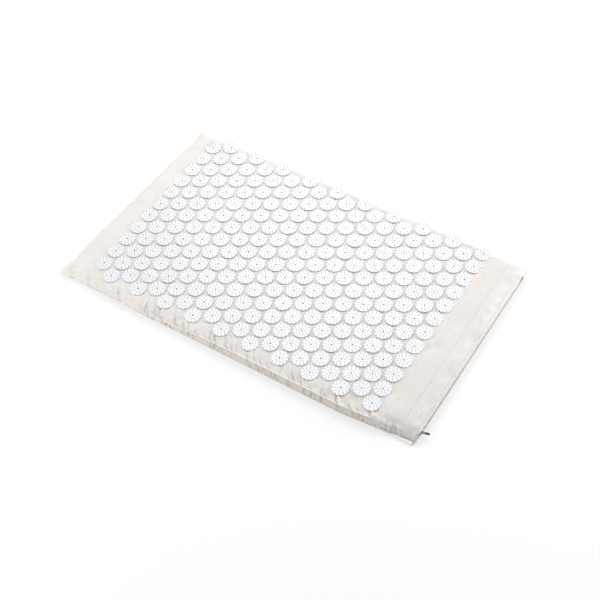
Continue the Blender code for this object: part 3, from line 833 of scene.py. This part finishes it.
def foam_finish():
    """Open-cell foam: pale cream with small round pores."""
    material, shader, tree = finish_named("foam")
    place = tree.node("ShaderNodeTexCoord", output="Object")
    pores = tree.node("ShaderNodeTexVoronoi", {"Vector": place, "Scale": 900.0})
    colour = pores.between(0.1, 0.5).tint(rgb(0.86, 0.81, 0.63), rgb(0.70, 0.63, 0.44))
    plug(shader, "Base Color", colour)
    bump = tree.node("ShaderNodeBump", {"Strength": 0.6, "Distance": 0.0004, "Height": pores})
    plug(shader, "Normal", bump)
    shader.inputs["Roughness"].default_value = 1.0
    return material


def foam_slab():
    """Two grids, the cover's top and bottom faces brought inwards by the foam's room, joined by a
    band of quads round their borders."""
    left, right, near, far = FOAM_INSETS
    x = np.linspace(LEFT + left, RIGHT - right, FOAM_COUNTS[0])
    y = np.linspace(NEAR + near, FAR - far, FOAM_COUNTS[1])
    grid_x, grid_y = np.meshgrid(x, y, indexing="ij")
    low = bottom_surface(grid_x, grid_y)
    low[..., 2] += FOAM_ROOM
    high = top_surface(grid_x, grid_y, folds=0.0)
    high[..., 2] = np.maximum(high[..., 2] - FOAM_ROOM - CLOTH, low[..., 2] + FOAM_LEAST)
    index = np.arange(grid_x.size).reshape(grid_x.shape)
    border = np.concatenate([index[:-1, 0], index[-1, :-1], index[:0:-1, -1], index[0, :0:-1]])
    after = np.roll(border, -1)
    band = np.column_stack([border, after, after + grid_x.size, border + grid_x.size])
    faces = grid_faces(*grid_x.shape)
    points = np.concatenate([low.reshape(-1, 3), high.reshape(-1, 3)])
    return points, np.concatenate([faces[:, ::-1], faces + grid_x.size, band])


foam_block = piece("foam_block", mesh_of("foam_block", *foam_slab()), foam_finish())
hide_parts("foam_core")

# Rosettes
# Moulded white plastic discs, bonded to the cloth one by one and each turned its own way. A disc
# has a crisp rim, a small hole in its middle, and three rings of short sharp spikes.
DISC_BASE = 0.0203
DISC_RADIUS = ROSETTE_DIAMETER / 2
DISC_SIDES = 24
PLATE = 0.0018
PLATE_TOP = DISC_BASE + PLATE
HOLE_RADIUS = 0.0014
DISC_PROFILE = (
    (DISC_RADIUS - 0.0014, 0.0),
    (DISC_RADIUS, 0.0009),
    (DISC_RADIUS - 0.0002, PLATE),
    (HOLE_RADIUS, PLATE),
    (HOLE_RADIUS, 0.0009),
)
SPIKE_RINGS = ((0.0052, 6, 0.0), (0.0093, 9, 0.30), (0.0130, 12, 0.13))
SPIKE_FOOT = 0.0016
SPIKE_RADIUS = 0.00085
SPIKE_TIP = 0.00012
SPIKE_HEIGHT = 0.0034
SPIKE_SIDES = 5


def disc_shape():
    """A profile of radius and height turned round the disc's middle, with a face over the hole's
    bottom and one over the underside."""
    turn = np.linspace(0, 2 * math.pi, DISC_SIDES, endpoint=False)
    profile = np.array(DISC_PROFILE)
    ring = np.stack([np.cos(turn), np.sin(turn)], axis=-1)
    plan = profile[:, None, :1] * ring[None]
    height = np.broadcast_to(profile[:, None, 1:], (*plan.shape[:2], 1))
    points = np.concatenate([plan, height], axis=-1).reshape(-1, 3)
    index = np.arange(len(points)).reshape(len(profile), DISC_SIDES)
    after = np.roll(index, -1, axis=1)
    quads = np.stack([index[:-1], after[:-1], after[1:], index[1:]], axis=-1).reshape(-1, 4)
    return points, quads, np.stack([index[0][::-1], index[-1]])


def spike_shapes():
    """Cones cut off at a fine tip, at even angles round each ring. A ring is given by its radius,
    its number of spikes and the angle of its first one, so that the rings don't line up."""
    turn = np.linspace(0, 2 * math.pi, SPIKE_SIDES, endpoint=False)
    ring = np.stack([np.cos(turn), np.sin(turn)], axis=-1)
    low = np.column_stack([ring * SPIKE_RADIUS, np.full(SPIKE_SIDES, SPIKE_FOOT)])
    high = np.column_stack([ring * SPIKE_TIP, np.full(SPIKE_SIDES, PLATE + SPIKE_HEIGHT)])
    spike = np.concatenate([low, high])
    angles = np.concatenate(
        [start + np.arange(count) * 2 * math.pi / count for _, count, start in SPIKE_RINGS]
    )
    radii = np.concatenate([np.full(count, radius) for radius, count, _ in SPIKE_RINGS])
    places = np.column_stack([radii * np.cos(angles), radii * np.sin(angles), np.zeros(len(radii))])
    points = (places[:, None] + spike).reshape(-1, 3)
    side = np.arange(SPIKE_SIDES)
    after = (side + 1) % SPIKE_SIDES
    quads = np.stack([side, after, after + SPIKE_SIDES, side + SPIKE_SIDES], axis=-1)
    shift = np.arange(len(places)) * 2 * SPIKE_SIDES
    quads = (quads[None] + shift[:, None, None]).reshape(-1, 4)
    tips = (side + SPIKE_SIDES)[None] + shift[:, None]
    return points, quads, tips


def rosette_finish():
    """Moulded plastic: faintly bluish white, a little cloudy and uneven in its gloss. The spikes
    are painted greyer than the plate, most of all at their feet: painted shade for the shadows
    among them."""
    material, shader, tree = finish_named("rosette_plastic")
    place = tree.node("ShaderNodeTexCoord", output="Object")
    cloud = tree.node("ShaderNodeTexNoise", {"Vector": place, "Scale": 120.0, "Detail": 2.0})
    grain = tree.node("ShaderNodeTexNoise", {"Vector": place, "Scale": 1400.0, "Detail": 2.0})
    plate = cloud.between(0.35, 0.7).tint(rgb(0.780, 0.789, 0.799), rgb(0.745, 0.757, 0.770))
    rise = tree.node("ShaderNodeSeparateXYZ", {0: place}, output="Z")
    # Painted shade: the spikes' lower parts are darker than the plate, for the shade among the
    # spikes.
    spike = rise.between(PLATE_TOP + 0.0001, PLATE_TOP + 0.0004) * (
        1 - 0.7 * rise.between(PLATE_TOP + 0.0012, PLATE_TOP + SPIKE_HEIGHT)
    )
    plug(shader, "Base Color", spike.tint(plate, rgb(0.50, 0.525, 0.56)))
    plug(shader, "Roughness", 0.30 + 0.16 * grain)
    bump = tree.node("ShaderNodeBump", {"Strength": 0.15, "Distance": 0.0001, "Height": grain})
    plug(shader, "Normal", bump)
    return material


def hole_painted_shade_finish():
    """Near-black on the faces inside a rosette's hole: painted shade for the dark hole."""
    material, shader, tree = finish_named("rosette_hole_painted_shade")
    place = tree.node("ShaderNodeTexCoord", output="Object")
    grain = tree.node("ShaderNodeTexNoise", {"Vector": place, "Scale": 900.0, "Detail": 2.0})
    plug(shader, "Base Color", grain.tint(rgb(0.055, 0.062, 0.075), rgb(0.12, 0.13, 0.15)))
    shader.inputs["Roughness"].default_value = 0.6
    return material


def rosette_mesh(name, centres):
    """One disc with its spikes, copied to each centre and turned by a random angle. Also gives each
    face's material slot: 1 in the hole, 0 elsewhere."""
    disc, disc_quads, disc_ends = disc_shape()
    spikes, spike_quads, spike_tips = spike_shapes()
    shape = np.concatenate([disc, spikes])
    angles = chance.uniform(0, 2 * math.pi, len(centres))
    cos, sin = np.cos(angles)[:, None], np.sin(angles)[:, None]
    x = cos * shape[:, 0] - sin * shape[:, 1] + centres[:, :1]
    y = sin * shape[:, 0] + cos * shape[:, 1] + centres[:, 1:2]
    z = np.broadcast_to(shape[:, 2] + DISC_BASE, x.shape)
    points = np.stack([x, y, z], axis=-1).reshape(-1, 3)
    shift = np.arange(len(centres))[:, None, None] * len(shape)
    groups = [
        (faces[None] + offset + shift).reshape(-1, faces.shape[1])
        for faces, offset in (
            (disc_quads, 0),
            (disc_ends, 0),
            (spike_quads, len(disc)),
            (spike_tips, len(disc)),
        )
    ]
    in_hole = np.zeros(len(disc_quads), np.int32)
    in_hole[-DISC_SIDES:] = 1
    slots = [np.tile(in_hole, len(centres)), np.tile([0, 1], len(centres))]
    slots += [np.zeros(len(group)) for group in groups[2:]]
    return mesh_of(name, points, *groups, smooth=False), np.concatenate(slots).astype(np.int32)


rosette_plastic = rosette_finish()
# Painted shade: the faces inside each rosette's hole are near-black.
rosette_hole_painted_shade = hole_painted_shade_finish()
for column in range(COLUMNS):
    number = f"{column + 1:02d}"
    count = LONG_COUNT if column % 2 else LONG_COUNT - 1
    stagger = 0.0 if column % 2 else ROSETTE_PITCH / 2
    centres = np.column_stack(
        [np.full(count, column * COLUMN_STEP), stagger + np.arange(count) * ROSETTE_PITCH]
    )
    mesh, slots = rosette_mesh(f"rosettes_{number}", centres + FIELD)
    row = piece(f"rosettes_{number}", mesh, rosette_plastic)
    mesh.materials.append(rosette_hole_painted_shade)
    mesh.polygons.foreach_set("material_index", slots)
    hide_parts(f"rosette_row_{number}")

# Zip
# Two woven tapes sewn inside the panels' edges, each with a row of moulded teeth that are staggered
# against the other row's. Stops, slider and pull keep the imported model's shape and get their
# finishes.
ROW_NEAR, ROW_BEND, ROW_FAR = 0.0007, 0.0015, 0.0033
TOOTH_PITCH = 0.0028
FIRST_TOOTH = 0.0026
TOOTH_HALF_WIDTH, TOOTH_HALF_TIP = 0.00085, 0.00045
TOOTH_HALF_DEPTH = 0.0011
TAPE_HALF = 0.0003
TAPE_PATH = np.array([(0, 2.3), (0, 4.3), (0.55, 4.9), (0.65, 5.4), (0.4, 6.0)]) / 1000
TAPE_COUNT = 60
TAPE_END = 0.0100
TAPE_SETBACK, SETBACK_ENDS = 0.0016, (0.001, 0.008)
ZIP_HEIGHT = THICKNESS / 2
near_stop = np.array(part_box("zip_top_stop_upper"))[:, :2].mean(axis=0)
far_stop = np.array(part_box("zip_bottom_stop"))[:, :2].mean(axis=0)
zip_length = np.linalg.norm(far_stop - near_stop)
zip_way = (far_stop - near_stop) / zip_length
zip_out = np.array((zip_way[1], -zip_way[0]))


def beside_zip(out, along, rise):
    """Points given as distances out of the zip's plane, along it from its near stop, and above
    it."""
    plan = near_stop + out[..., None] * zip_out + along[..., None] * zip_way
    return np.concatenate([plan, (ZIP_HEIGHT + rise)[..., None]], axis=-1)


def tape_shape(sign):
    """A ribbon's profile along the zip: flat behind the teeth, then bent out to the panel's edge
    and on behind it, and set back a little past the stops, where the panels close over it. The
    profile goes up one face and down the other."""
    way = np.gradient(TAPE_PATH, axis=0)
    way /= np.linalg.norm(way, axis=1)[:, None]
    across = np.column_stack([way[:, 1], -way[:, 0]]) * TAPE_HALF
    profile = np.concatenate([TAPE_PATH + across, (TAPE_PATH - across)[::-1]])
    along = np.linspace(-TAPE_END, zip_length + TAPE_END, TAPE_COUNT)
    out, run = np.meshgrid(profile[:, 0], along)
    past_stops = np.abs(run - zip_length / 2) - zip_length / 2
    out = out - TAPE_SETBACK * smooth_step(past_stops, *SETBACK_ENDS)
    rise = np.broadcast_to(sign * profile[:, 1], out.shape)
    index = np.arange(out.size).reshape(out.shape)
    ends = np.stack([index[0], index[-1][::-1]])
    points = beside_zip(out, run, rise).reshape(-1, 3)
    return points, tube_faces(index)[:, ::sign], ends[:, ::sign]


def teeth_shape(sign, start):
    """Six-sided teeth in a row, each with its narrow end towards the other row."""
    outline = np.array(
        [
            (-TOOTH_HALF_WIDTH, ROW_FAR),
            (-TOOTH_HALF_WIDTH, ROW_BEND),
            (-TOOTH_HALF_TIP, ROW_NEAR),
            (TOOTH_HALF_TIP, ROW_NEAR),
            (TOOTH_HALF_WIDTH, ROW_BEND),
            (TOOTH_HALF_WIDTH, ROW_FAR),
        ]
    )
    sides = len(outline)
    places = np.arange(start, zip_length - FIRST_TOOTH, TOOTH_PITCH)
    out = np.repeat([TOOTH_HALF_DEPTH, -TOOTH_HALF_DEPTH], sides)
    along = places[:, None] + np.tile(outline[:, 0], 2)
    rise = np.broadcast_to(sign * np.tile(outline[:, 1], 2), along.shape)
    points = beside_zip(np.broadcast_to(out, along.shape), along, rise).reshape(-1, 3)
    side = np.arange(sides)
    after = (side + 1) % sides
    quads = np.stack([side, side + sides, after + sides, after], axis=-1)
    caps = np.stack([side, side[::-1] + sides])
    shift = np.arange(len(places))[:, None, None] * 2 * sides
    quads, caps = ((faces[None] + shift).reshape(-1, faces.shape[1]) for faces in (quads, caps))
    return points, quads[:, ::sign], caps[:, ::sign]


def tape_finish():
    """Woven tape: fine ribs across it."""
    material, shader, tree = finish_named("zip_tape")
    place = tree.node("ShaderNodeTexCoord", output="Object")
    ribs = tree.node("ShaderNodeTexWave", {"Vector": place, "Scale": 420.0}, bands_direction="Y")
    plug(shader, "Base Color", ribs.tint(rgb(0.95, 0.935, 0.90), rgb(0.88, 0.86, 0.82)))
    plug(shader, "Normal", tree.node("ShaderNodeBump", {"Distance": 0.0002, "Height": ribs}))
    shader.inputs["Roughness"].default_value = 0.9
    return material


def cast_finish(name, light, dark, roughness, metallic):
    """A cast or moulded finish: fine grain, with the tone a little worn."""
    material, shader, tree = finish_named(name)
    place = tree.node("ShaderNodeTexCoord", output="Object")
    grain = tree.node("ShaderNodeTexNoise", {"Vector": place, "Scale": 700.0, "Detail": 3.0})
    plug(shader, "Base Color", grain.between(0.3, 0.7).tint(light, dark))
    plug(shader, "Roughness", roughness + 0.2 * grain)
    shader.inputs["Metallic"].default_value = metallic
    return material


zip_tape = tape_finish()
zip_nylon = cast_finish("zip_nylon", rgb(0.95, 0.93, 0.89), rgb(0.88, 0.855, 0.80), 0.4, 0.0)
slider_metal = cast_finish("slider_metal", rgb(0.76, 0.68, 0.60), rgb(0.56, 0.47, 0.39), 0.35, 0.10)
pull_metal = cast_finish("pull_metal", rgb(0.085, 0.065, 0.055), rgb(0.045, 0.035, 0.03), 0.35, 0.3)
for half, sign in (("upper", 1), ("lower", -1)):
    tape = piece(f"tape_{half}", mesh_of(f"tape_{half}", *tape_shape(sign)), zip_tape)
    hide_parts(f"zip_tape_{half}")
    first = FIRST_TOOTH + (TOOTH_PITCH / 2 if sign < 0 else 0)
    teeth = mesh_of(f"teeth_{half}", *teeth_shape(sign, first), smooth=False)
    teeth = piece(f"teeth_{half}", teeth, zip_nylon)
    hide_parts(f"zip_teeth_{half}")
for node, material in (
    ("zip_top_stop_upper", slider_metal),
    ("zip_top_stop_lower", slider_metal),
    ("zip_bottom_stop", slider_metal),
    ("zip_slider", slider_metal),
    ("zip_pull", pull_metal),
):
    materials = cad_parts[node].data.materials
    materials.clear()
    materials.append(material)
